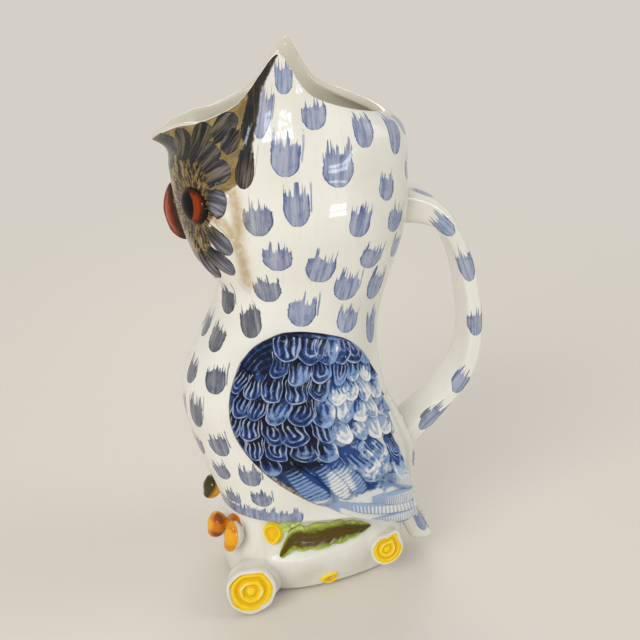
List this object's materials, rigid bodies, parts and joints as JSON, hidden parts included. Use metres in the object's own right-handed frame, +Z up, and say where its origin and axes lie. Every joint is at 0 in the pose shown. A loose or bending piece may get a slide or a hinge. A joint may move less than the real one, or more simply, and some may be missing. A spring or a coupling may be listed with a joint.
{
  "type": "owl pitcher",
  "caption": "Hollow glazed pottery pitcher in the form of an owl on a log, with a pouring lip over the beak, ear tufts on the rim, feather-relief wings and a strap handle at the back.",
  "frame": {"origin": "on the log's flat underside, on the jug's upright axis", "axes": "+Z up, the owl faces -Y, its handle is at +Y and its left wing at +X"},
  "size_m": [0.1025, 0.1541, 0.2603],
  "materials": {
    "cream_glaze": "glossy cream glaze with grey-blue brush dabs and a dark brown mask",
    "tail_glaze": "glossy cream glaze with blue dabs",
    "handle_glaze": "glossy cream glaze with blue dabs",
    "beak_glaze": "glossy red-orange glaze",
    "log_glaze": "glossy cream glaze",
    "wing_glaze": "glossy cobalt glaze, pooled dark in the relief and pale on its ridges",
    "eye_glaze": "glossy orange glaze with a black pupil",
    "cheek_glaze": "glossy brown and gold glaze with grey-blue feather ends",
    "leaf_glaze": "glossy olive glaze with a light green edge",
    "foot_glaze": "glossy orange glaze",
    "stub_glaze": "glossy yellow glaze inside a cream rim"
  },
  "bodies": {
    "root": {"body_shell": "cream_glaze", "tail": "tail_glaze", "handle": "handle_glaze", "beak": "beak_glaze", "log_base": "log_glaze", "wing_left": "wing_glaze", "wing_right": "wing_glaze", "eye_left": "eye_glaze", "eye_right": "eye_glaze", "cheek_left": "cheek_glaze", "cheek_right": "cheek_glaze", "leaf_left": "leaf_glaze", "leaf_right": "leaf_glaze", "foot_left": "foot_glaze", "foot_right": "foot_glaze", "stub_front_left": "stub_glaze", "stub_back_left": "stub_glaze", "stub_front_right": "stub_glaze", "stub_back_right": "stub_glaze", "knot_low_left": "stub_glaze", "knot_high_left": "stub_glaze"}
  },
  "joints": []
}
